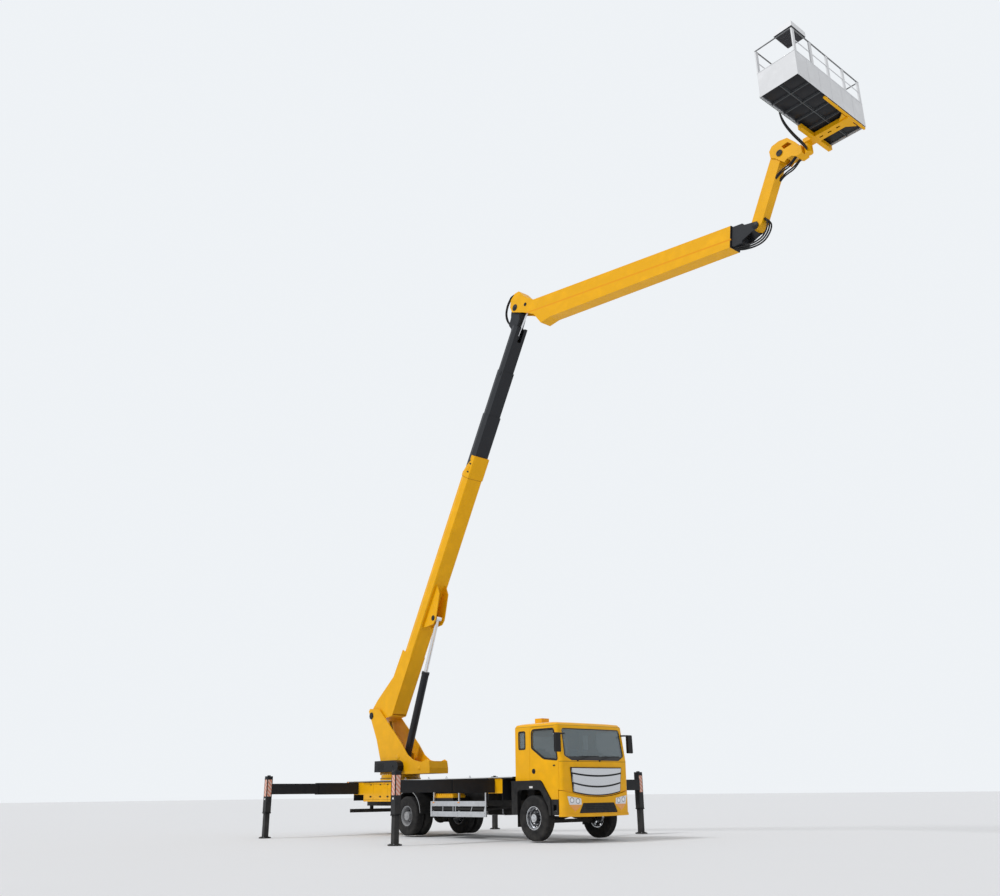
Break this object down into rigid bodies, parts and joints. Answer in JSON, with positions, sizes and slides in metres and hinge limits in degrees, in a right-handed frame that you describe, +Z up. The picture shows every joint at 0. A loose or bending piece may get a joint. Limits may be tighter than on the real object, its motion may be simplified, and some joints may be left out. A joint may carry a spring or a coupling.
{
  "type": "cherry picker truck",
  "caption": "Two-axle truck with outriggers, slewing telescopic boom, folding upper arm, cranked jib and a wide work platform.",
  "frame": {"origin": "on the ground under the middle of the overall length and width", "axes": "+X to the front of the truck, +Y to its left, +Z up"},
  "size_m": [18.3408, 8.33, 16.5503],
  "materials": {
    "yellow_paint": "gloss",
    "charcoal_paint": "satin",
    "chassis_black": "satin",
    "engine_grey": "matte",
    "bare_aluminium": "satin",
    "black_plastic": "matte",
    "window_glass": "clear",
    "cab_trim": "matte",
    "grille_silver": "polished",
    "lamp_lens": "clear",
    "chrome_rod": "polished",
    "white_paint": "gloss",
    "white_plastic": "gloss",
    "tyre_rubber": "matte",
    "rim_steel": "satin"
  },
  "bodies": {
    "chassis": {"chassis_frame": "chassis_black", "axles": "chassis_black", "engine": "engine_grey", "deck": "charcoal_paint", "outrigger_sleeves": "yellow_paint", "fuel_tank": "chassis_black", "side_lockers": "yellow_paint", "side_guards": "bare_aluminium", "wheel_covers": "black_plastic", "cab_shell": "yellow_paint", "cab_glass": "window_glass", "cab_interior": "cab_trim", "grille": "grille_silver", "bumper": "yellow_paint", "lamps": "lamp_lens", "mirrors": "black_plastic", "slewing_ring": "charcoal_paint"},
    "turret_body": {"turret": "yellow_paint", "turret_cover": "charcoal_paint"},
    "boom_base_body": {"boom_base": "yellow_paint"},
    "boom_section_2_body": {"boom_section_2": "charcoal_paint"},
    "boom_section_3_body": {"boom_section_3": "charcoal_paint"},
    "boom_section_4_body": {"boom_section_4": "charcoal_paint"},
    "lift_barrel_body": {"lift_barrel": "charcoal_paint"},
    "lift_rod_body": {"lift_rod": "chrome_rod"},
    "knee_barrel_body": {"knee_barrel": "charcoal_paint"},
    "knee_rod_body": {"knee_rod": "chrome_rod"},
    "upper_arm_body": {"upper_arm": "yellow_paint"},
    "arm_fly_body": {"arm_fly": "charcoal_paint"},
    "jib_body": {"jib": "yellow_paint"},
    "platform_bracket_body": {"platform_bracket": "yellow_paint"},
    "platform_body": {"platform_frame": "yellow_paint", "basket": "white_paint", "control_box": "white_plastic"},
    "knuckle_right_body": {"knuckle_right": "chassis_black"},
    "wheel_front_right": {"tyre_front_right": "tyre_rubber", "rim_front_right": "rim_steel"},
    "wheels_rear_right": {"tyres_rear_right": "tyre_rubber", "rims_rear_right": "rim_steel"},
    "door_right_body": {"door_right": "yellow_paint", "door_glass_right": "window_glass"},
    "beam_inner_front_right_body": {"beam_inner_front_right": "charcoal_paint"},
    "beam_outer_front_right_body": {"beam_outer_front_right": "charcoal_paint"},
    "jack_front_right_body": {"jack_leg_front_right": "charcoal_paint"},
    "beam_inner_rear_right_body": {"beam_inner_rear_right": "charcoal_paint"},
    "beam_outer_rear_right_body": {"beam_outer_rear_right": "charcoal_paint"},
    "jack_rear_right_body": {"jack_leg_rear_right": "charcoal_paint"},
    "knuckle_left_body": {"knuckle_left": "chassis_black"},
    "wheel_front_left": {"tyre_front_left": "tyre_rubber", "rim_front_left": "rim_steel"},
    "wheels_rear_left": {"tyres_rear_left": "tyre_rubber", "rims_rear_left": "rim_steel"},
    "door_left_body": {"door_left": "yellow_paint", "door_glass_left": "window_glass"},
    "beam_inner_front_left_body": {"beam_inner_front_left": "charcoal_paint"},
    "beam_outer_front_left_body": {"beam_outer_front_left": "charcoal_paint"},
    "jack_front_left_body": {"jack_leg_front_left": "charcoal_paint"},
    "beam_inner_rear_left_body": {"beam_inner_rear_left": "charcoal_paint"},
    "beam_outer_rear_left_body": {"beam_outer_rear_left": "charcoal_paint"},
    "jack_rear_left_body": {"jack_leg_rear_left": "charcoal_paint"}
  },
  "joints": [
    {"name": "steer_right", "type": "hinge", "parent": "chassis", "child": "knuckle_right_body", "pos_m": [-0.57, -0.735, 0.535], "axis": [0, 0, 1], "range_deg": [-32, 32]},
    {"name": "wheel_front_right_turn", "type": "hinge", "parent": "knuckle_right_body", "child": "wheel_front_right", "pos_m": [-0.57, -1, 0.535], "axis": [0, 1, 0], "continuous": true},
    {"name": "wheels_rear_right_turn", "type": "hinge", "parent": "chassis", "child": "wheels_rear_right", "pos_m": [-5.77, -0.9, 0.535], "axis": [0, 1, 0], "continuous": true},
    {"name": "door_right_hinge", "type": "hinge", "parent": "chassis", "child": "door_right_body", "pos_m": [0.273, -1.11, 1.7], "axis": [0, 0, 1], "range_deg": [0, 65]},
    {"name": "steer_left", "type": "hinge", "parent": "chassis", "child": "knuckle_left_body", "pos_m": [-0.57, 0.735, 0.535], "axis": [0, 0, 1], "range_deg": [-32, 32]},
    {"name": "wheel_front_left_turn", "type": "hinge", "parent": "knuckle_left_body", "child": "wheel_front_left", "pos_m": [-0.57, 1, 0.535], "axis": [0, 1, 0], "continuous": true},
    {"name": "wheels_rear_left_turn", "type": "hinge", "parent": "chassis", "child": "wheels_rear_left", "pos_m": [-5.77, 0.9, 0.535], "axis": [0, 1, 0], "continuous": true},
    {"name": "door_left_hinge", "type": "hinge", "parent": "chassis", "child": "door_left_body", "pos_m": [0.273, 1.11, 1.7], "axis": [0, 0, -1], "range_deg": [0, 65]},
    {"name": "beam_inner_front_right_slide", "type": "slide", "parent": "chassis", "child": "beam_inner_front_right_body", "axis": [0, -1, 0], "range_m": [-1.31, 0.1]},
    {"name": "beam_outer_front_right_slide", "type": "slide", "parent": "beam_inner_front_right_body", "child": "beam_outer_front_right_body", "axis": [0, -1, 0], "range_m": [-1.44, 0.11]},
    {"name": "jack_front_right_slide", "type": "slide", "parent": "beam_outer_front_right_body", "child": "jack_front_right_body", "axis": [0, 0, -1], "range_m": [-0.45, 0.15]},
    {"name": "beam_inner_rear_right_slide", "type": "slide", "parent": "chassis", "child": "beam_inner_rear_right_body", "axis": [0, -1, 0], "range_m": [-1.31, 0.1]},
    {"name": "beam_outer_rear_right_slide", "type": "slide", "parent": "beam_inner_rear_right_body", "child": "beam_outer_rear_right_body", "axis": [0, -1, 0], "range_m": [-1.44, 0.11]},
    {"name": "jack_rear_right_slide", "type": "slide", "parent": "beam_outer_rear_right_body", "child": "jack_rear_right_body", "axis": [0, 0, -1], "range_m": [-0.45, 0.15]},
    {"name": "beam_inner_front_left_slide", "type": "slide", "parent": "chassis", "child": "beam_inner_front_left_body", "axis": [0, 1, 0], "range_m": [-1.31, 0.1]},
    {"name": "beam_outer_front_left_slide", "type": "slide", "parent": "beam_inner_front_left_body", "child": "beam_outer_front_left_body", "axis": [0, 1, 0], "range_m": [-1.44, 0.11]},
    {"name": "jack_front_left_slide", "type": "slide", "parent": "beam_outer_front_left_body", "child": "jack_front_left_body", "axis": [0, 0, -1], "range_m": [-0.45, 0.15]},
    {"name": "beam_inner_rear_left_slide", "type": "slide", "parent": "chassis", "child": "beam_inner_rear_left_body", "axis": [0, 1, 0], "range_m": [-1.31, 0.1]},
    {"name": "beam_outer_rear_left_slide", "type": "slide", "parent": "beam_inner_rear_left_body", "child": "beam_outer_rear_left_body", "axis": [0, 1, 0], "range_m": [-1.44, 0.11]},
    {"name": "jack_rear_left_slide", "type": "slide", "parent": "beam_outer_rear_left_body", "child": "jack_rear_left_body", "axis": [0, 0, -1], "range_m": [-0.45, 0.15]},
    {"name": "turret_slew", "type": "hinge", "parent": "chassis", "child": "turret_body", "pos_m": [-7.794, 0, 1.475], "axis": [0, 0, 1], "continuous": true},
    {"name": "boom_luff", "type": "hinge", "parent": "turret_body", "child": "boom_base_body", "pos_m": [-9.002, 0, 3.42], "axis": [0, -1, 0], "range_deg": [-44.5, 17]},
    {"name": "lift_barrel_swing", "type": "hinge", "parent": "turret_body", "child": "lift_barrel_body", "pos_m": [-7.486, 0, 2.146], "axis": [0, -1, 0], "range_deg": [-43, 17]},
    {"name": "lift_rod_slide", "type": "slide", "parent": "lift_barrel_body", "child": "lift_rod_body", "axis": [0.3485, 0, 0.9373], "range_m": [-1.5, 0.58]},
    {"name": "boom_extend_1", "type": "slide", "parent": "boom_base_body", "child": "boom_section_2_body", "axis": [0.4924, 0, 0.8704], "range_m": [-1.25, 5]},
    {"name": "boom_extend_2", "type": "slide", "parent": "boom_section_2_body", "child": "boom_section_3_body", "axis": [0.4924, 0, 0.8704], "range_m": [-1.25, 5]},
    {"name": "boom_extend_3", "type": "slide", "parent": "boom_section_3_body", "child": "boom_section_4_body", "axis": [0.4924, 0, 0.8704], "range_m": [-1.25, 5]},
    {"name": "arm_fold", "type": "hinge", "parent": "boom_section_4_body", "child": "upper_arm_body", "pos_m": [-2.01106, 0, 14.96413], "axis": [0, 1, 0], "range_deg": [-63, 21]},
    {"name": "knee_barrel_swing", "type": "hinge", "parent": "boom_section_4_body", "child": "knee_barrel_body", "pos_m": [-2.80672, 0, 13.07042], "axis": [0, 1, 0], "range_deg": [-8.8, 3.1]},
    {"name": "knee_rod_slide", "type": "slide", "parent": "knee_barrel_body", "child": "knee_rod_body", "axis": [0.5745, 0, 0.8185], "range_m": [-0.13, 0.38]},
    {"name": "arm_extend", "type": "slide", "parent": "upper_arm_body", "child": "arm_fly_body", "axis": [0.9898, 0, -0.1426], "range_m": [0, 2.6]},
    {"name": "jib_swing", "type": "hinge", "parent": "arm_fly_body", "child": "jib_body", "pos_m": [6.52, 0, 13.58], "axis": [0, -1, 0], "range_deg": [-75, 20]},
    {"name": "platform_level", "type": "hinge", "parent": "jib_body", "child": "platform_bracket_body", "pos_m": [7.39, 0, 15.1], "axis": [0, 1, 0], "range_deg": [-57, 27]},
    {"name": "platform_turn", "type": "hinge", "parent": "platform_bracket_body", "child": "platform_body", "pos_m": [8.04, 0, 15.01], "axis": [0, 0, 1], "range_deg": [-80, 80]}
  ],
  "couplings": [
    {"joint": "steer_left", "follows": "steer_right", "ratio": 1},
    {"joint": "beam_outer_front_right_slide", "follows": "beam_inner_front_right_slide", "ratio": 1.0992},
    {"joint": "beam_outer_rear_right_slide", "follows": "beam_inner_rear_right_slide", "ratio": 1.0992},
    {"joint": "beam_outer_front_left_slide", "follows": "beam_inner_front_left_slide", "ratio": 1.0992},
    {"joint": "beam_outer_rear_left_slide", "follows": "beam_inner_rear_left_slide", "ratio": 1.0992},
    {"joint": "lift_barrel_swing", "follows": "boom_luff", "ratio": 0.94},
    {"joint": "lift_rod_slide", "follows": "boom_luff", "m_per_rad": 1.888},
    {"joint": "boom_extend_2", "follows": "boom_extend_1", "ratio": 1},
    {"joint": "boom_extend_3", "follows": "boom_extend_1", "ratio": 1},
    {"joint": "knee_barrel_swing", "follows": "arm_fold", "ratio": 0.135},
    {"joint": "knee_rod_slide", "follows": "arm_fold", "m_per_rad": -0.34}
  ]
}
